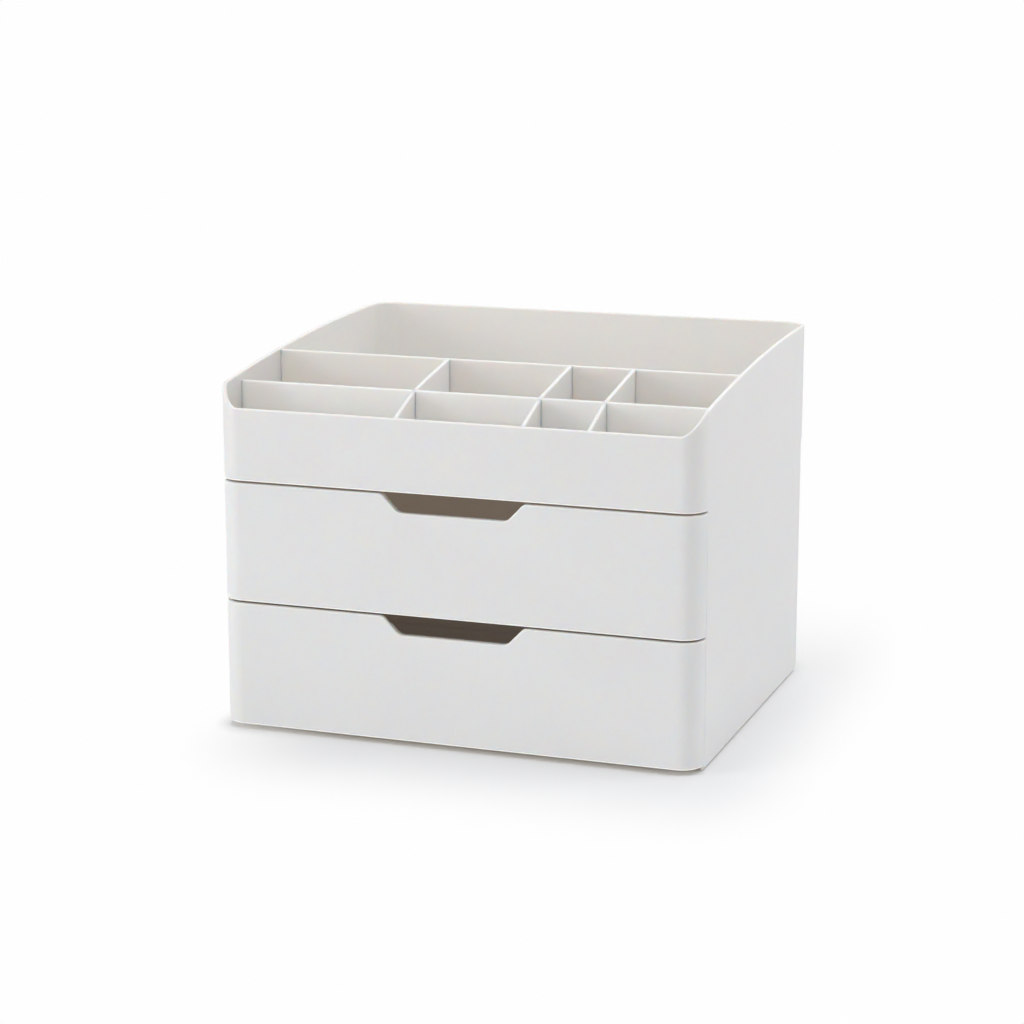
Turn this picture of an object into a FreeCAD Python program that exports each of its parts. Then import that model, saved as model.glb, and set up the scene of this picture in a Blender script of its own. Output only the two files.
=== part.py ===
import FreeCAD, Part
import math
import os

# Desktop make-up organiser: an open, divided tray above two sliding drawers.
# Millimetres. X runs left to right, Y from the front to the back, Z up.
# The origin is on the table, under the middle of the organiser.

# Overall plan
width = 260.0
depth = 221.0
front_corner_r = 12.0
rear_corner_r = 13.5

# Heights, from the table upwards
foot_height = 2.7
base_thickness = 2.4
lower_front_height = 65.75
upper_front_height = 62.85
drawer_seam = 1.15
tray_front_height = 38.0
tray_rear_height = 64.5

# Outer shell
shell_wall = 2.2
side_seam = 0.4
seam_edge_round = 0.8
front_foot_round = 1.2

# The side walls reach below the drawers and end just above the table
side_clearance = 0.5
side_foot_round = 1.6
side_heel_round = 5.0

# Rim of the tray: level in front, climbing round the front corners, then a long arc to the back
rim_arc_r = 1500.0
rim_round = 0.8
corner_stations = 7

# Tray floor, and the ledge that carries it
ledge_width = 2.0
ledge_thickness = 1.5
tray_floor_thickness = 2.4
drop_in_gap = 0.2

# Dividers, placed from the front face and from the middle of the width
divider_thickness = 2.1
middle_divider_y = 28.5
rear_divider_y = 78.0
middle_divider_height = 44.0
rear_divider_height = 52.9
cross_divider_x = {"divider_left": -31.0, "divider_centre": 37.1, "divider_right": 71.6}
divider_edge_round = 0.5
wall_slot_depth = 0.8
wall_slot_cover = 2.5
slot_gap = 0.05
end_gap = 0.1
tab_height = 14.0
tab_rise = 12.0

# Panels held in grooves of the side walls
shelf_thickness = 2.0
shelf_setback = 12.0
back_thickness = 2.0
back_inset = 1.0
groove_depth = 0.9
groove_gap = 0.15
groove_setback = 1.0
base_tongue = 1.0
base_front_gap = 0.4

# Drawers
front_thickness = 2.4
box_wall = 1.8
box_floor = 2.0
box_side_gap = 0.8
box_back_gap = 2.0
box_lift = 0.3
box_front_corner_r = 10.0
box_rear_corner_r = 6.0
box_inner_round = 2.5
drawer_travel = 150.0

# Finger notch in each drawer front
notch_top_width = 76.5
notch_bottom_width = 58.5
notch_depth = 9.4
notch_bottom_r = 6.0
notch_top_r = 4.0
notch_edge_round = 0.9
notch_box_gap = 0.2

# Drawer stops: tabs on the box meet lugs under the panel above
stop_inset = 50.0
stop_width = 14.0
stop_lug_thickness = 2.0
stop_lug_drop = 2.2
stop_pass_gap = 0.8
stop_tab_gap = 0.5

# Pegs that join a drawer front to its box
peg_r = 2.0
peg_hole_gap = 0.2
peg_head_r = 3.4
peg_head_height = 1.0
peg_inset = 35.0
peg_rises = (14.0, 40.0)

# Feet
foot_r = 7.0
foot_recess = 1.0
foot_recess_gap = 0.15
foot_edge_round = 0.4
foot_side_inset = 22.0
foot_end_inset = 26.0

# Cutting shapes run this far past the faces they open,
# and joined shapes overlap by the same amount
overrun = 1.0

# Sizes that follow from the ones above
half_width = width / 2
half_depth = depth / 2
base_bottom = foot_height
base_top = base_bottom + base_thickness
lower_front_top = base_bottom + lower_front_height
upper_front_bottom = lower_front_top + drawer_seam
upper_front_top = upper_front_bottom + upper_front_height
tray_bottom = upper_front_top + drawer_seam
front_rim_z = tray_bottom + tray_front_height
ledge_top = tray_bottom + ledge_thickness
floor_top = ledge_top + tray_floor_thickness
shelf_top = upper_front_bottom - drawer_seam / 2
shelf_bottom = shelf_top - shelf_thickness
inner_half_width = half_width - shell_wall
wrap_y = -half_depth + front_corner_r
wrap_end_y = wrap_y - side_seam / 2
side_front_y = wrap_y + side_seam / 2
side_rear_y = half_depth - rear_corner_r
groove_front_y = side_front_y + groove_setback
back_rear_y = side_rear_y - back_inset
back_front_y = back_rear_y - back_thickness
panel_rear_y = back_front_y - groove_gap
tongue_half_width = inner_half_width + groove_depth - groove_gap
panel_half_width = inner_half_width - drop_in_gap
base_middle = (base_bottom + base_top) / 2
box_half_width = inner_half_width - box_side_gap
box_front_y = -half_depth + front_thickness
box_rear_y = back_front_y - box_back_gap
stop_inner_x = half_width - stop_inset - stop_width / 2
stop_outer_x = stop_inner_x + stop_width
stop_tab_y = box_rear_y - box_wall
stop_lug_y = stop_tab_y - drawer_travel
middle_y = -half_depth + middle_divider_y
rear_y = -half_depth + rear_divider_y
middle_divider_top = floor_top + middle_divider_height
rear_divider_top = floor_top + rear_divider_height
lap_z = (floor_top + middle_divider_top) / 2
half_plate = divider_thickness / 2
half_slot = half_plate + slot_gap


def vec(x, y, z):
    return FreeCAD.Vector(x, y, z)


def block(x0, x1, y0, y1, z0, z1):
    """A box between two corners."""
    return Part.makeBox(x1 - x0, y1 - y0, z1 - z0, vec(x0, y0, z0))


def rod(r, length, x, y, z):
    """A round rod that points to the back."""
    return Part.makeCylinder(r, length, vec(x, y, z), vec(0, 1, 0))


def mirrored_pair(shape):
    """A shape and its twin on the other side of the X = 0 plane."""
    return [shape, shape.mirror(vec(0, 0, 0), vec(1, 0, 0))]


def plan_prism(half_x, y_front, y_rear, front_r, rear_r, z0, z1):
    """An upright prism whose plan is a rectangle with rounded corners."""
    corners = [
        (half_x, y_front, front_r, -90),
        (half_x, y_rear, rear_r, 0),
        (-half_x, y_rear, rear_r, 90),
        (-half_x, y_front, front_r, 180),
    ]
    ends = []
    arcs = []
    for x, y, r, start in corners:
        cx = x - math.copysign(r, x)
        cy = y + r if y == y_front else y - r
        points = []
        for turn in (0, 45, 90):
            angle = math.radians(start + turn)
            points.append(vec(cx + r * math.cos(angle), cy + r * math.sin(angle), z0))
        ends.append((points[0], points[2]))
        arcs.append(Part.Arc(*points).toShape() if r > 0 else None)
    edges = []
    for i in range(4):
        if arcs[i]:
            edges.append(arcs[i])
        edges.append(Part.makeLine(ends[i][1], ends[(i + 1) % 4][0]))
    return Part.Face(Part.Wire(edges)).extrude(vec(0, 0, z1 - z0))


def inset_prism(inset, z0, z1):
    """The organiser's outer plan, drawn in by an inset."""
    return plan_prism(
        half_width - inset,
        -half_depth + inset,
        half_depth - inset,
        front_corner_r - inset,
        rear_corner_r - inset,
        z0,
        z1,
    )


def nose_prism(inset, y_end, z0, z1):
    """The front slice of that plan, cut off square at y_end."""
    behind = block(
        -half_width - overrun, half_width + overrun, y_end, half_depth + overrun, z0 - overrun, z1 + overrun
    )
    return inset_prism(inset, z0, z1).cut(behind)


def round_edges(shape, radius, wanted):
    """Round the edges whose bounding box the test accepts."""
    edges = [edge for edge in shape.Edges if wanted(edge.BoundBox)]
    return shape.makeFillet(radius, edges)


def near(a, b):
    return abs(a - b) < 0.01


def level_at(box, z):
    """True for an edge that lies flat at the height z."""
    return near(box.ZMin, z) and near(box.ZMax, z)


def crosses_wall(box):
    """True for the short level edges that run through the wall, from skin to skin."""
    return near(box.XLength + box.YLength, shell_wall)


def on_outer_plan(box):
    """True for an edge that touches one of the four outer sides."""
    sides = near(box.XMin, -half_width) or near(box.XMax, half_width)
    return sides or near(box.YMin, -half_depth) or near(box.YMax, half_depth)


def rim_rise(y):
    """How far the side walls' rim is above the tray's lower edge: a long arc that ends level at the back."""
    run = half_depth - y
    return tray_rear_height - rim_arc_r + math.sqrt(rim_arc_r ** 2 - run ** 2)


def corner_climb(r):
    """The rim's curve round the front right corner, at the radius r from the corner's centre."""
    centre_x = half_width - front_corner_r
    climb = rim_rise(wrap_y) - tray_front_height
    end_slope = (half_depth - wrap_y) / rim_arc_r * r * math.pi / 2
    points = []
    turns = []
    for i in range(corner_stations):
        u = i / (corner_stations - 1)
        angle = u * math.pi / 2
        z = tray_front_height + climb * (3 * u ** 2 - 2 * u ** 3) + end_slope * (u ** 3 - u ** 2)
        points.append(vec(centre_x + r * math.sin(angle), wrap_y - r * math.cos(angle), z))
        turns.append(u)
    curve = Part.BSplineCurve()
    curve.interpolate(
        Points=points,
        Parameters=turns,
        InitialTangent=vec(r * math.pi / 2, 0, 0),
        FinalTangent=vec(0, r * math.pi / 2, end_slope),
        Scale=False,
    )
    return curve.toShape()


def rim_cutters():
    """Everything above the rim: over the front, round the two front corners, and over the sides."""
    above = tray_rear_height + 2 * overrun
    half_way = (wrap_y + half_depth) / 2
    start = vec(-half_width - overrun, wrap_y, rim_rise(wrap_y))
    middle = vec(-half_width - overrun, half_way, rim_rise(half_way))
    back = vec(-half_width - overrun, half_depth, tray_rear_height)
    past_back = back + vec(0, overrun, 0)
    high_back = vec(back.x, past_back.y, above)
    high_start = vec(back.x, wrap_y, above)
    edges = [
        Part.Arc(start, middle, back).toShape(),
        Part.makeLine(back, past_back),
        Part.makeLine(past_back, high_back),
        Part.makeLine(high_back, high_start),
        Part.makeLine(high_start, start),
    ]
    sides = Part.Face(Part.Wire(edges)).extrude(vec(width + 2 * overrun, 0, 0))
    front_x = half_width - front_corner_r
    front = block(-front_x, front_x, -half_depth - overrun, wrap_y, tray_front_height, above)
    inner = corner_climb(front_corner_r - shell_wall - overrun)
    outer = corner_climb(front_corner_r + overrun)
    corner = Part.makeRuledSurface(inner, outer).extrude(vec(0, 0, above - tray_front_height))
    return [sides, front] + mirrored_pair(corner)


def tray_wall_slots():
    """Closed slots in the tray walls, which the tongues of the dividers snap into."""
    slot_x = inner_half_width + wall_slot_depth
    slots = []
    for y, divider_top in ((middle_y, middle_divider_top), (rear_y, rear_divider_top)):
        top = divider_top - wall_slot_cover
        side = block(inner_half_width - overrun, slot_x, y - half_slot, y + half_slot, ledge_top, top)
        slots += mirrored_pair(side)
    top = front_rim_z - wall_slot_cover
    inner_front = -half_depth + shell_wall
    slot_y = inner_front - wall_slot_depth
    for x in cross_divider_x.values():
        slots.append(block(x - half_slot, x + half_slot, slot_y, inner_front + overrun, ledge_top, top))
    return slots


def side_grooves():
    """Grooves in the side walls for the shelf, the base plate and the back panel."""
    spans = [
        (groove_front_y, side_rear_y + overrun, shelf_bottom - groove_gap, shelf_top + groove_gap),
        (
            groove_front_y,
            side_rear_y + overrun,
            base_middle - base_tongue / 2 - groove_gap,
            base_middle + base_tongue / 2 + groove_gap,
        ),
        (panel_rear_y, back_rear_y + groove_gap, side_clearance - overrun, tray_bottom),
    ]
    grooves = []
    for y0, y1, z0, z1 in spans:
        groove = block(inner_half_width - overrun, inner_half_width + groove_depth, y0, y1, z0, z1)
        grooves += mirrored_pair(groove)
    return grooves


def heel_cutter():
    """What lies outside the rounded lower rear corners of the side walls."""
    side_x = half_width + overrun
    y = side_rear_y - side_heel_round
    z = side_clearance + side_heel_round
    corner = block(-side_x, side_x, y, side_rear_y + overrun, side_clearance - overrun, z)
    heel = Part.makeCylinder(side_heel_round, 2 * side_x, vec(-side_x, y, z), vec(1, 0, 0))
    return corner.cut(heel)


def tray_ring():
    """The tray's four walls, made on the level Z = 0."""
    above = tray_rear_height + overrun
    outer = inset_prism(0, 0, above)
    hollow = inset_prism(shell_wall, -overrun, above + overrun)
    ring = outer.cut(hollow).cut(rim_cutters())
    ring = round_edges(
        ring,
        rim_round,
        lambda box: box.ZMin > overrun and not crosses_wall(box),
    )
    return round_edges(
        ring,
        seam_edge_round,
        lambda box: level_at(box, 0) and on_outer_plan(box),
    )


def make_tray_shell():
    """One moulding: the tray's four walls and the two side walls, which end just above the table."""
    ring = tray_ring().translated(vec(0, 0, tray_bottom))
    side_top = tray_bottom + seam_edge_round
    side = block(inner_half_width, half_width, side_front_y, side_rear_y, side_clearance, side_top)
    side = round_edges(
        side,
        side_foot_round,
        lambda box: level_at(box, side_clearance) and near(box.XMin, half_width),
    )
    shell = ring.fuse(mirrored_pair(side.cut(heel_cutter()))).removeSplitter()
    ledge = inset_prism(shell_wall, tray_bottom, ledge_top)
    ledge_hole = inset_prism(shell_wall + ledge_width, tray_bottom - overrun, ledge_top + overrun)
    shell = shell.fuse(ledge.cut(ledge_hole)).removeSplitter()
    return shell.cut(tray_wall_slots() + side_grooves())


def stop_lugs(ceiling):
    """Two lugs under a panel, which stop the drawer below it."""
    lug = block(
        stop_inner_x,
        stop_outer_x,
        stop_lug_y - stop_lug_thickness,
        stop_lug_y,
        ceiling - stop_lug_drop,
        ceiling,
    )
    return mirrored_pair(lug)


def make_tray_floor():
    """Flat panel dropped onto the ledge inside the tray."""
    floor = inset_prism(shell_wall + drop_in_gap, ledge_top, floor_top)
    return floor.fuse(stop_lugs(ledge_top)).removeSplitter()


def make_drawer_shelf():
    """Panel between the drawers, slid along the side grooves from behind."""
    front = box_front_y + shelf_setback
    shelf = block(-panel_half_width, panel_half_width, front, panel_rear_y, shelf_bottom, shelf_top)
    tongue_front = groove_front_y + groove_gap
    tongues = block(
        -tongue_half_width,
        tongue_half_width,
        tongue_front,
        panel_rear_y,
        shelf_bottom,
        shelf_top,
    )
    return shelf.fuse([tongues] + stop_lugs(shelf_bottom)).removeSplitter()


def make_back_panel():
    """Upright panel behind the drawers, held in the side grooves above the base plate."""
    panel_top = tray_bottom - drop_in_gap
    return block(-tongue_half_width, tongue_half_width, back_front_y, back_rear_y, base_top, panel_top)


def foot_places():
    """Name and centre of each foot."""
    x = half_width - foot_side_inset
    y = half_depth - foot_end_inset
    return [
        ("foot_front_left", -x, -y),
        ("foot_front_right", x, -y),
        ("foot_rear_left", -x, y),
        ("foot_rear_right", x, y),
    ]


def make_base_plate():
    """Bottom plate: its rounded front edge lies just behind the lower drawer's front."""
    nose = nose_prism(front_thickness + base_front_gap, side_front_y + overrun, base_bottom, base_top)
    plate = block(-panel_half_width, panel_half_width, side_front_y, back_rear_y, base_bottom, base_top)
    tongue = block(
        -tongue_half_width,
        tongue_half_width,
        groove_front_y + groove_gap,
        panel_rear_y,
        base_middle - base_tongue / 2,
        base_middle + base_tongue / 2,
    )
    base = nose.fuse([plate, tongue]).removeSplitter()
    pocket_r = foot_r + foot_recess_gap
    for name, x, y in foot_places():
        pocket = Part.makeCylinder(pocket_r, foot_recess + overrun, vec(x, y, base_bottom - overrun))
        base = base.cut(pocket)
    return base


def make_foot(x, y):
    """Rubber pad, glued in its recess under the base plate."""
    foot = Part.makeCylinder(foot_r, foot_height + foot_recess, vec(x, y, 0))
    return round_edges(foot, foot_edge_round, lambda box: box.ZMax < foot_edge_round)


def across_divider(y, top):
    """Plate that runs the full width of the tray and stands on its floor, with a tongue at each end."""
    half_length = inner_half_width - end_gap
    plate = block(-half_length, half_length, y - half_plate, y + half_plate, floor_top, top)
    plate = round_edges(
        plate,
        divider_edge_round,
        lambda box: level_at(box, top) and box.XLength > half_width,
    )
    tongue_end = inner_half_width + wall_slot_depth - slot_gap
    tongue_top = top - wall_slot_cover - slot_gap
    tongue = block(-tongue_end, tongue_end, y - half_plate, y + half_plate, floor_top, tongue_top)
    return plate.fuse(tongue).removeSplitter()


def make_divider_middle():
    """Slotted from below, where the cross dividers pass through it."""
    plate = across_divider(middle_y, middle_divider_top)
    y0 = middle_y - half_plate - overrun
    y1 = middle_y + half_plate + overrun
    for x in cross_divider_x.values():
        plate = plate.cut(block(x - half_slot, x + half_slot, y0, y1, floor_top - overrun, lap_z + slot_gap))
    return plate


def make_divider_rear():
    """Pierced by a window for the tab of each cross divider."""
    plate = across_divider(rear_y, rear_divider_top)
    y0 = rear_y - half_plate - overrun
    y1 = rear_y + half_plate + overrun
    low = floor_top + tab_rise - slot_gap
    high = floor_top + tab_rise + tab_height + slot_gap
    for x in cross_divider_x.values():
        plate = plate.cut(block(x - half_slot, x + half_slot, y0, y1, low, high))
    return plate


def make_cross_divider(x):
    """Plate from the front wall to the rear divider; its top climbs with the rim."""
    inner_front = -half_depth + shell_wall
    front = inner_front + end_gap
    tongue_front = inner_front - wall_slot_depth + slot_gap
    rear = rear_y - half_plate - slot_gap
    outline = [
        vec(x - half_plate, front, floor_top),
        vec(x - half_plate, rear, floor_top),
        vec(x - half_plate, rear, rear_divider_top),
        vec(x - half_plate, middle_y, middle_divider_top),
        vec(x - half_plate, front, front_rim_z),
    ]
    plate = Part.Face(Part.makePolygon(outline + outline[:1])).extrude(vec(divider_thickness, 0, 0))
    plate = round_edges(
        plate,
        divider_edge_round,
        lambda box: near(box.XLength, 0)
        and box.ZMin > front_rim_z - overrun
        and box.YLength > front_corner_r,
    )
    tab_low = floor_top + tab_rise
    tab_high = tab_low + tab_height
    tab = block(x - half_plate, x + half_plate, rear - overrun, rear_y + half_plate, tab_low, tab_high)
    tongue_top = front_rim_z - wall_slot_cover - slot_gap
    tongue = block(x - half_plate, x + half_plate, tongue_front, front + overrun, floor_top, tongue_top)
    slot = block(
        x - half_plate - overrun,
        x + half_plate + overrun,
        middle_y - half_slot,
        middle_y + half_slot,
        lap_z,
        rear_divider_top,
    )
    return plate.fuse([tab, tongue]).removeSplitter().cut(slot)


def notch_prism(top_z, gap, y0, y1):
    """The finger notch below an edge at top_z, grown by a gap and open at the top."""
    half_top = notch_top_width / 2 + gap
    half_bottom = notch_bottom_width / 2 + gap
    bottom_z = top_z - notch_depth - gap
    open_z = top_z + notch_depth
    half_open = half_bottom + (half_top - half_bottom) * (open_z - bottom_z) / notch_depth
    outline = [
        vec(-half_open, y0, open_z),
        vec(-half_bottom, y0, bottom_z),
        vec(half_bottom, y0, bottom_z),
        vec(half_open, y0, open_z),
    ]
    prism = Part.Face(Part.makePolygon(outline + outline[:1])).extrude(vec(0, y1 - y0, 0))
    return round_edges(prism, notch_bottom_r, lambda box: level_at(box, bottom_z) and near(box.XLength, 0))


def peg_places(bottom):
    """X and Z of the four pegs of a drawer front."""
    peg_x = half_width - peg_inset
    return [(x, bottom + rise) for x in (-peg_x, peg_x) for rise in peg_rises]


def make_drawer_front(bottom, top, bottom_round):
    """Outer face of a drawer: it wraps both corners and carries the finger notch."""
    inner = -half_depth + front_thickness
    face = nose_prism(0, wrap_end_y, bottom, top)
    hollow = nose_prism(front_thickness, wrap_end_y + overrun, bottom - overrun, top + overrun)
    panel = face.cut(hollow).cut(notch_prism(top, 0, -half_depth - overrun, inner + overrun))
    mouth = notch_top_width / 2 + overrun
    panel = round_edges(
        panel,
        notch_top_r,
        lambda box: level_at(box, top) and near(box.XLength, 0) and abs(box.XMin) < mouth,
    )
    panel = round_edges(
        panel,
        bottom_round,
        lambda box: level_at(box, bottom) and near(box.YMin, -half_depth),
    )
    panel = round_edges(
        panel,
        notch_edge_round,
        lambda box: near(box.YMin, -half_depth) and box.ZMin > top - notch_depth - overrun,
    )
    pegs = []
    for x, z in peg_places(bottom):
        pegs.append(rod(peg_r, box_wall + overrun, x, inner - overrun, z))
        pegs.append(rod(peg_head_r, peg_head_height, x, inner + box_wall, z))
    return panel.fuse(pegs).removeSplitter()


def make_drawer_box(seat, ceiling, front_bottom, front_top):
    """Open box of a drawer, with the stop tabs on its back wall."""
    bottom = seat + box_lift
    top = ceiling - stop_lug_drop - stop_pass_gap
    outer = plan_prism(
        box_half_width, box_front_y, box_rear_y, box_front_corner_r, box_rear_corner_r, bottom, top
    )
    inside = plan_prism(
        box_half_width - box_wall,
        box_front_y + box_wall,
        box_rear_y - box_wall,
        box_front_corner_r - box_wall,
        box_rear_corner_r - box_wall,
        bottom + box_floor,
        top + overrun,
    )
    inside = round_edges(inside, box_inner_round, lambda box: level_at(box, bottom + box_floor))
    notch = notch_prism(front_top, notch_box_gap, box_front_y - overrun, box_front_y + box_wall + overrun)
    box = outer.cut([inside, notch])
    holes = []
    for x, z in peg_places(front_bottom):
        holes.append(rod(peg_r + peg_hole_gap, box_wall + 2 * overrun, x, box_front_y - overrun, z))
    tab = block(stop_inner_x, stop_outer_x, stop_tab_y, box_rear_y, top - overrun, ceiling - stop_tab_gap)
    return box.cut(holes).fuse(mirrored_pair(tab)).removeSplitter()


def build():
    """Every piece of the organiser, by name."""
    pieces = {
        "tray_shell": make_tray_shell(),
        "tray_floor": make_tray_floor(),
        "divider_middle": make_divider_middle(),
        "divider_rear": make_divider_rear(),
        "drawer_shelf": make_drawer_shelf(),
        "back_panel": make_back_panel(),
        "base_plate": make_base_plate(),
        "upper_drawer_front": make_drawer_front(upper_front_bottom, upper_front_top, seam_edge_round),
        "upper_drawer_box": make_drawer_box(shelf_top, ledge_top, upper_front_bottom, upper_front_top),
        "lower_drawer_front": make_drawer_front(base_bottom, lower_front_top, front_foot_round),
        "lower_drawer_box": make_drawer_box(base_top, shelf_bottom, base_bottom, lower_front_top),
    }
    for name, x in cross_divider_x.items():
        pieces[name] = make_cross_divider(x)
    for name, x, y in foot_places():
        pieces[name] = make_foot(x, y)
    return pieces


os.makedirs("parts", exist_ok=True)
for name, shape in build().items():
    state = "valid" if shape.isValid() else "BAD"
    print(name, len(shape.Solids), "solid,", round(shape.Volume / 1000, 2), "cm3,", state)
    shape.exportStep(f"parts/{name}.step")
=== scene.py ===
import math

import bpy
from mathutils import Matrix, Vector

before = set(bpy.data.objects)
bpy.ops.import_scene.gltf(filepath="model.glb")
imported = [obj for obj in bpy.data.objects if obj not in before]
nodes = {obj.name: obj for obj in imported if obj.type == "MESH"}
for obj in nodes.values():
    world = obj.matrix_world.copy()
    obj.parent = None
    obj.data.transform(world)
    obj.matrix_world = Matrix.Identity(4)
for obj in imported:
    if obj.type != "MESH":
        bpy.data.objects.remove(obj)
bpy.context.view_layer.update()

# ---- Outer moulding ----
# The tray's four walls and the two side walls are one injection moulding in white ABS, with the satin
# skin of a fine-sparked mould. The dividers sit in its slots, the tray's floor on its ledge, and the
# panels in its side grooves.
shell_white = (0.83, 0.83, 0.825)
rubbed_and_highlit_edge = (0.90, 0.885, 0.85, 1)
dust_film = (0.797, 0.785, 0.768, 1)
painted_highlight_colour = (1.0, 0.95, 0.88, 1)
unlit = (0, 0, 0, 1)
edge_radius = 0.0008
# The outer walls' rounded plan at half their thickness: the centre of its corners and their radius.
# The third number of the centre is out of reach, so that height doesn't count.
wall_corner = (0.118, 0.0985, 9.0)
wall_corner_r = 0.0109
# Inner faces are painted a little creamier and lighter than the outer ones, a painted warmth standing in for
# light bouncing inside.
painted_warmth_tint = (1.012, 0.997, 0.968)


class Signal:
    """An output of a shader node. Arithmetic on it adds Math nodes behind it."""

    def __init__(self, socket):
        self.socket = socket

    @staticmethod
    def add(tree, kind, inputs=None, output=0, stops=None, **settings):
        """A new node: its settings first, then the values or links of its sockets."""
        node = tree.nodes.new(kind)
        for key, value in settings.items():
            setattr(node, key, value)
        if stops:
            ramp = node.color_ramp.elements
            for element, (at, grey) in zip(ramp, stops):
                element.position = at
                element.color = (grey, grey, grey, 1)
        for key, value in (inputs or {}).items():
            socket = node.inputs[key]
            if isinstance(value, Signal):
                tree.links.new(value.socket, socket)
            else:
                socket.default_value = value
        return Signal(node.outputs[output])

    def maths(self, operation, first, second):
        return Signal.add(self.socket.id_data, "ShaderNodeMath", {0: first, 1: second}, operation=operation)

    def __add__(self, other):
        return self.maths("ADD", self, other)

    def __radd__(self, other):
        return self.maths("ADD", other, self)

    def __sub__(self, other):
        return self.maths("SUBTRACT", self, other)

    def __rsub__(self, other):
        return self.maths("SUBTRACT", other, self)

    def __mul__(self, other):
        return self.maths("MULTIPLY", self, other)

    def __rmul__(self, other):
        return self.maths("MULTIPLY", other, self)


def vector_sum(tree, operation, first, second=(0.0, 0.0, 0.0), output="Vector"):
    """A sum on two positions or directions, given as links or as numbers."""
    return Signal.add(tree, "ShaderNodeVectorMath", {0: first, 1: second}, output=output, operation=operation)


def tinted(tree, amount, first, second):
    """The first colour, mixed towards the second by the amount."""
    return Signal.add(tree, "ShaderNodeMix", {"Factor": amount, 6: first, 7: second}, output=2, data_type="RGBA")


def rising(tree, value, start, end):
    """0 at the start, 1 at the end, and straight between them."""
    return Signal.add(tree, "ShaderNodeMapRange", {"Value": value, "From Min": start, "From Max": end})


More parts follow.
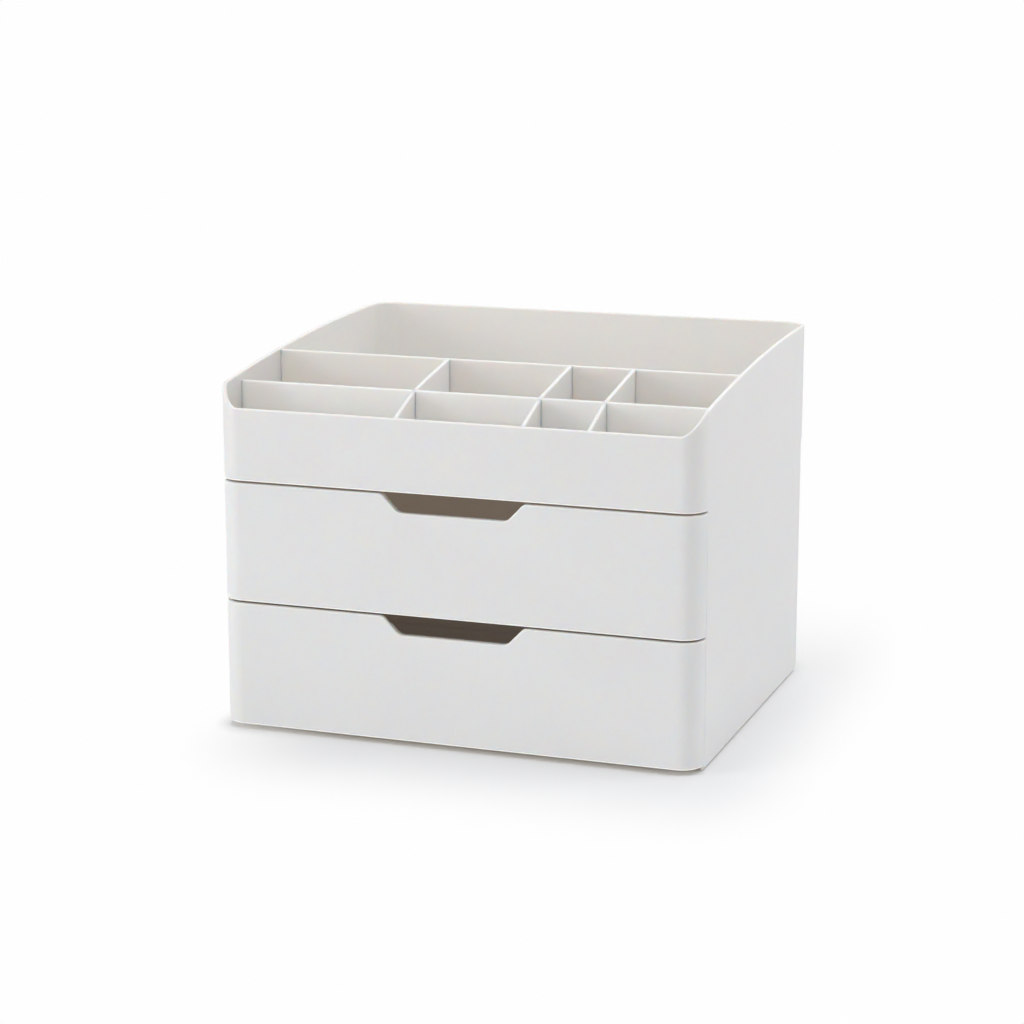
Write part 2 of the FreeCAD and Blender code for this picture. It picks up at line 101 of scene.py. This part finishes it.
def moulded_plastic(name, colour, roughness, turn, depth, pin_marks=0.0, painted_edge_highlight=0.0, painted_highlight_above=0.0):
    """Satin moulded plastic: faint clouds in the colour, sparked grain, rubbed edges and hairline scuffs.

    turn is how the grain lies, depth is how far light soaks in, and pin_marks is the depth of the round
    ejector-pin marks underneath. The last two arguments set a painted highlight: how strongly lower edges that
    turn downward glow warm, and the height above which they do.
    """
    material = bpy.data.materials.new(name)
    material.use_nodes = True
    tree = material.node_tree
    shader = tree.nodes["Principled BSDF"]
    place = Signal.add(tree, "ShaderNodeTexCoord", output="Object")

    # Mould finish: broad clouds, specks, sparked grain and hairline scuffs.
    turned = Signal.add(tree, "ShaderNodeMapping", {"Vector": place, "Rotation": turn})
    clouds = Signal.add(tree, "ShaderNodeTexNoise", {"Vector": turned, "Scale": 16.0, "Detail": 3.0})
    speck = Signal.add(tree, "ShaderNodeTexNoise", {"Vector": turned, "Scale": 900.0, "Detail": 2.0})
    grain = Signal.add(tree, "ShaderNodeTexNoise", {"Vector": turned, "Scale": 3200.0, "Detail": 2.0})
    streaks = Signal.add(tree, "ShaderNodeMapping", {"Vector": turned, "Scale": (6.0, 900.0, 260.0)})
    hairs = Signal.add(tree, "ShaderNodeTexNoise", {"Vector": streaks, "Scale": 1.0, "Detail": 2.0})
    scuffs = Signal.add(tree, "ShaderNodeValToRGB", {"Fac": hairs}, stops=((0.66, 0.0), (0.74, 1.0)))
    dull = (*[0.965 * c for c in colour], 1)
    bright = (*[1.03 * c for c in colour], 1)
    clouded = tinted(tree, clouds * 0.6 + speck * 0.4, dull, bright)

    # Edges, where the rounded surface turns away from the flat one.
    rounded = Signal.add(tree, "ShaderNodeBevel", {"Radius": edge_radius}, samples=6)
    flat = Signal.add(tree, "ShaderNodeNewGeometry", output="Normal")
    facing = vector_sum(tree, "DOT_PRODUCT", rounded, flat, "Value")
    edge = rising(tree, 1 - facing, 0.0, 0.25)

    # Inner faces lie within the middle of the outer walls.
    mirrored = vector_sum(tree, "ABSOLUTE", place)
    past_corner = vector_sum(tree, "MAXIMUM", vector_sum(tree, "SUBTRACT", mirrored, wall_corner))
    reach = vector_sum(tree, "LENGTH", past_corner, output="Value")
    inner = Signal.add(tree, "ShaderNodeMath", {0: reach, 1: wall_corner_r}, operation="LESS_THAN")
    # Inner faces get the painted warmth: a creamier tint standing in for warm light bouncing inside.
    painted_warm_inner = (*[c * tint for c, tint in zip(colour, painted_warmth_tint)], 1)
    body = tinted(tree, inner * 0.9, clouded, painted_warm_inner)

    # Faces that look up carry a film of dust, and their edges get neither the rubbed tint nor the painted
    # highlight.
    downward = vector_sum(tree, "DOT_PRODUCT", flat, (0.0, 0.0, -1.0), "Value")
    dusted = rising(tree, downward, -0.2, -0.8)
    dusty = tinted(tree, dusted, body, dust_film)
    # Edges are tinted lighter and creamier: partly rubbed wear, partly a painted highlight.
    skin = tinted(tree, edge * 0.7 * (1 - dusted), dusty, rubbed_and_highlit_edge)

    # Lower edges that turn downward get a painted highlight, a warm glow standing in for the light inside the
    # wall. Level undersides don't.
    if painted_edge_highlight:
        turning = rising(tree, downward, 0.1, 0.5)
        not_level = rising(tree, downward, 0.99, 0.93)
        rise = Signal.add(tree, "ShaderNodeSeparateXYZ", {0: place}, output="Z")
        high = Signal.add(tree, "ShaderNodeMath", {0: rise, 1: painted_highlight_above}, operation="GREATER_THAN")
        painted_highlight = tinted(tree, turning * not_level * high * painted_edge_highlight, unlit, painted_highlight_colour)
        tree.links.new(painted_highlight.socket, shader.inputs["Emission Color"])
        shader.inputs["Emission Strength"].default_value = 1.0

    # Round ejector-pin marks on the undersides, on a square grid.
    pins = Signal.add(
        tree,
        "ShaderNodeTexVoronoi",
        {"Vector": place, "Scale": 22.0, "Randomness": 0.0},
        output="Distance",
        voronoi_dimensions="2D",
    )
    dent = Signal.add(tree, "ShaderNodeValToRGB", {"Fac": pins}, stops=((0.085, 1.0), (0.1, 0.0)))
    underside = Signal.add(tree, "ShaderNodeMath", {0: downward, 1: 0.5}, operation="GREATER_THAN")
    height = grain * 0.5 + speck * 0.5 + clouds * 8.0 - underside * dent * pin_marks
    bump = Signal.add(
        tree,
        "ShaderNodeBump",
        {"Height": height, "Strength": 0.18, "Distance": 0.00006, "Normal": rounded},
    )
    satin = roughness + clouds * 0.08 + scuffs * 0.06 + inner * 0.08 - edge * 0.1
    tree.links.new(skin.socket, shader.inputs["Base Color"])
    tree.links.new(satin.socket, shader.inputs["Roughness"])
    tree.links.new(bump.socket, shader.inputs["Normal"])
    shader.inputs["IOR"].default_value = 1.5
    shader.inputs["Subsurface Weight"].default_value = 1.0
    shader.inputs["Subsurface Radius"].default_value = (1.0, 0.75, 0.55)
    shader.inputs["Subsurface Scale"].default_value = depth
    return material


def finish_pieces(names, material):
    """Give carried-over pieces their material."""
    for name in names:
        for slot in nodes[name].material_slots:
            slot.material = material


# Only the tray's lower edges get the painted highlight, well above the foot of the side walls.
shell_plastic = moulded_plastic(
    "shell_abs", shell_white, 0.36, (0.2, 0.5, 0.1), 0.0013, painted_edge_highlight=0.28, painted_highlight_above=0.1
)
finish_pieces(["tray_shell"], shell_plastic)

# ---- Tray floor and dividers ----
# The floor is a flat moulded panel dropped onto a ledge. The dividers are thinner plates of the same white
# plastic, but each is given its own white as painted light and shade: the cross dividers lightest, the front
# divider a little darker and the rear divider darkest. They lap over each other, and their tongues snap into
# closed slots of the walls.
floor_white = (0.865, 0.865, 0.867)
cross_divider_painted_white = (0.878, 0.880, 0.89)
rear_divider_painted_shade = (0.818, 0.819, 0.826)
front_divider_painted_white = (0.859, 0.862, 0.874)
floor_plastic = moulded_plastic("floor_abs", floor_white, 0.42, (0.9, 0.1, 0.4), 0.003, pin_marks=12.0)
finish_pieces(["tray_floor"], floor_plastic)
cross_plastic = moulded_plastic("cross_divider_abs", cross_divider_painted_white, 0.38, (0.3, 0.8, 0.6), 0.0036)
finish_pieces(["divider_left", "divider_centre", "divider_right"], cross_plastic)
rear_plastic = moulded_plastic("rear_divider_abs", rear_divider_painted_shade, 0.38, (0.5, 0.2, 0.9), 0.0026)
finish_pieces(["divider_rear"], rear_plastic)
middle_plastic = moulded_plastic("front_divider_abs", front_divider_painted_white, 0.38, (0.8, 0.3, 0.1), 0.0036)
finish_pieces(["divider_middle"], middle_plastic)

# ---- Drawer fronts ----
# Each front wraps both rounded corners and is staked to its box by four pegs. The trapezoid notch in the
# top edge takes the fingers.
# The fronts' lower edges carry the same painted highlight, a warm glow.
front_plastic = moulded_plastic("front_abs", shell_white, 0.34, (0.6, 0.2, 0.9), 0.0018, painted_edge_highlight=0.28)
finish_pieces(["upper_drawer_front", "lower_drawer_front"], front_plastic)

# ---- Drawer boxes ----
# Open trays of the same plastic with a plainer mould finish, rounded inside so that powder wipes out.
# Their insides glow faintly warm, a painted light standing in for daylight soaking through the thin walls into
# the closed drawers, more in the upper one.
box_white = (0.80, 0.79, 0.77)
painted_box_glow_colour = (1.0, 0.80, 0.66, 1)
for box, painted_box_glow in (("upper_drawer_box", 0.047), ("lower_drawer_box", 0.024)):
    box_plastic = moulded_plastic(box + "_abs", box_white, 0.48, (0.4, 0.7, 0.2), 0.0018, pin_marks=12.0)
    box_shader = box_plastic.node_tree.nodes["Principled BSDF"]
    box_shader.inputs["Emission Color"].default_value = painted_box_glow_colour
    box_shader.inputs["Emission Strength"].default_value = painted_box_glow
    finish_pieces([box], box_plastic)

# ---- Shelf, back panel and base plate ----
# Flat panels slid along grooves of the side walls, moulded in the same white. The base plate stops just behind
# the lower drawer's front, which hides its edge.
panel_white = (0.81, 0.81, 0.80)
panel_plastic = moulded_plastic("panel_abs", panel_white, 0.45, (0.1, 0.3, 0.7), 0.0018, pin_marks=12.0)
finish_pieces(["drawer_shelf", "back_panel"], panel_plastic)
base_plastic = moulded_plastic("base_abs", shell_white, 0.38, (0.7, 0.4, 0.3), 0.0018, pin_marks=12.0)
finish_pieces(["base_plate"], base_plastic)

# ---- Feet ----
# Die-cut rubber pads glued into round recesses under the base plate, dusty from the table.
rubber = bpy.data.materials.new("pad_rubber")
rubber.use_nodes = True
pad_tree = rubber.node_tree
pad_shader = pad_tree.nodes["Principled BSDF"]
pad_place = Signal.add(pad_tree, "ShaderNodeTexCoord", output="Object")
table_dust = Signal.add(pad_tree, "ShaderNodeTexNoise", {"Vector": pad_place, "Scale": 420.0, "Detail": 4.0})
pores = Signal.add(pad_tree, "ShaderNodeTexVoronoi", {"Vector": pad_place, "Scale": 1800.0}, output="Distance")
dusty_rubber = tinted(pad_tree, table_dust, (0.045, 0.045, 0.046, 1), (0.12, 0.118, 0.112, 1))
relief = Signal.add(pad_tree, "ShaderNodeBump", {"Height": pores, "Strength": 0.3, "Distance": 0.0001})
pad_tree.links.new(dusty_rubber.socket, pad_shader.inputs["Base Color"])
pad_tree.links.new((0.72 + table_dust * 0.2).socket, pad_shader.inputs["Roughness"])
pad_tree.links.new(relief.socket, pad_shader.inputs["Normal"])
finish_pieces(["foot_front_left", "foot_front_right", "foot_rear_left", "foot_rear_right"], rubber)

# ---- Floor ----
# A wide white paper sheet. Close to the organiser it keeps the soft shadow; further out the shadow fades and
# the sheet is plain white.
paper_white = 0.991
paper_grey = (0.88, 0.88, 0.88, 1)
# The full shadow lies between these two corners. It fades out over its own distance on each side.
shadow_low = (-0.0528, -0.1117, 0.0)
shadow_high = (0.1359, -0.0053, 0.0)
fade_low = (0.0989, 0.1105, 1.0)
fade_high = (0.0618, 0.2859, 1.0)
# The organiser's plan: the centre of its corners and their radius. The contact shadow ends a little past it.
plan_corner = (0.1145, 0.097, 1.0)
plan_corner_r = 0.012
contact_start = 0.015
contact_end = 0.024
contact_fade = 0.25
painted_floor_glow_colour = (1.0, 0.78, 0.52, 1)
painted_floor_glow_strength = 0.085

bpy.ops.object.select_all(action="DESELECT")
bpy.ops.mesh.primitive_plane_add(size=80, location=(0, 0, 0))
floor = bpy.context.object
floor.name = "floor"
paper = bpy.data.materials.new("white_sheet")
paper.use_nodes = True
sheet_tree = paper.node_tree
sheet_shader = sheet_tree.nodes["Principled BSDF"]
sheet_place = Signal.add(sheet_tree, "ShaderNodeTexCoord", output="Object")


def steps_past(first, second, step):
    """How far the first position lies past the second on each axis, counted in steps."""
    gap = vector_sum(sheet_tree, "SUBTRACT", first, second)
    return vector_sum(sheet_tree, "DIVIDE", vector_sum(sheet_tree, "MAXIMUM", gap), step)


def seen_rays(tree):
    """1 for rays from the camera, straight or by way of gloss or clear plastic, and 0 for the rest."""
    camera_ray = Signal.add(tree, "ShaderNodeLightPath", output="Is Camera Ray")
    glossy_ray = Signal.add(tree, "ShaderNodeLightPath", output="Is Glossy Ray")
    clear_ray = Signal.add(tree, "ShaderNodeLightPath", output="Is Transmission Ray")
    return camera_ray + glossy_ray + clear_ray


past_low = steps_past(shadow_low, sheet_place, fade_low)
past_high = steps_past(sheet_place, shadow_high, fade_high)
steps = vector_sum(sheet_tree, "ADD", past_low, past_high)
away = vector_sum(sheet_tree, "LENGTH", steps, output="Value")
far = Signal.add(sheet_tree, "ShaderNodeMapRange", {"Value": away}, interpolation_type="SMOOTHSTEP")
seen = seen_rays(sheet_tree)
# Next to the organiser the contact shadow stays, also where the wider shadow fades.
folded = vector_sum(sheet_tree, "ABSOLUTE", sheet_place)
past_plan = steps_past(folded, plan_corner, (1.0, 1.0, 1.0))
clearance = vector_sum(sheet_tree, "LENGTH", past_plan, output="Value")
apart = Signal.add(
    sheet_tree,
    "ShaderNodeMapRange",
    {"Value": clearance, "From Min": contact_start, "From Max": contact_end, "To Min": contact_fade},
)
# Under the organiser the sheet glows faintly warm, a painted light standing in for light soaking through the
# plastic.
painted_glow_reach = rising(sheet_tree, clearance, contact_start, plan_corner_r)
painted_floor_glow = tinted(sheet_tree, painted_glow_reach * seen * painted_floor_glow_strength, unlit, painted_floor_glow_colour)
sheet_tree.links.new(painted_floor_glow.socket, sheet_shader.inputs["Emission Color"])
sheet_shader.inputs["Emission Strength"].default_value = 1.0
sheet_shader.inputs["Base Color"].default_value = paper_grey
sheet_shader.inputs["Roughness"].default_value = 0.9
sheet_shader.inputs["Specular IOR Level"].default_value = 0.0
glow = Signal.add(sheet_tree, "ShaderNodeEmission", {"Color": (1, 1, 1, 1), "Strength": paper_white})
shaded = Signal(sheet_shader.outputs[0])
blend = Signal.add(sheet_tree, "ShaderNodeMixShader", {0: far * apart * seen, 1: shaded, 2: glow})
sheet_tree.links.new(blend.socket, sheet_tree.nodes["Material Output"].inputs["Surface"])
floor.data.materials.append(paper)

# ---- Light and camera ----
# A bright, even room of slightly cool white softboxes: one overhead, two from the left, a card in front, two
# from the right and one behind. All of them point at the middle of the organiser.
room_light = 0.25
room = bpy.data.worlds.new("room")
bpy.context.scene.world = room
room.use_nodes = True
room_tree = room.node_tree
sky = room_tree.nodes["Background"]
sky.inputs["Color"].default_value = (1, 1, 1, 1)
room_white = room_light + seen_rays(room_tree) * (paper_white - room_light)
room_tree.links.new(room_white.socket, sky.inputs["Strength"])

lamp_white = (0.975, 0.985, 1.0)
organiser_middle = Vector((0, 0, 0.1))
# Name, place, width of the square softbox in metres, and power in watts.
lamps = (
    ("overhead_softbox", (0.0, 0.0, 2.0), 1.6, 16.8),
    ("left_key", (-1.4, -1.4, 1.2), 1.4, 3.5),
    ("left_key_low", (-1.7, -1.3, 0.5), 0.9, 12.4),
    ("front_card", (0.2, -2.2, 0.8), 1.2, 8.7),
    ("right_softbox", (1.4, 0.2, 1.8), 1.4, 9.9),
    ("right_rear_low", (1.8, 0.9, 0.5), 0.9, 5.4),
    ("rear_softbox", (0.0, 1.6, 1.6), 1.4, 8.5),
)
for name, spot, size, power in lamps:
    bpy.ops.object.light_add(type="AREA", location=spot)
    lamp = bpy.context.object
    lamp.name = name
    lamp.data.size = size
    lamp.data.energy = power
    lamp.data.color = lamp_white
    lamp.rotation_euler = (Vector(spot) - organiser_middle).to_track_quat("Z", "Y").to_euler()

azimuth = math.radians(19.61)
elevation = math.radians(12.48)
level = math.cos(elevation)
back = Vector((math.sin(azimuth) * level, -math.cos(azimuth) * level, math.sin(elevation)))
bpy.ops.object.camera_add(location=(0.4529, -1.2909, 0.4056))
camera = bpy.context.object
camera.rotation_euler = back.to_track_quat("Z", "Y").to_euler()
camera.data.sensor_width = 36.0
camera.data.lens = 90.61
bpy.context.scene.camera = camera
bpy.context.scene.view_settings.view_transform = "Standard"
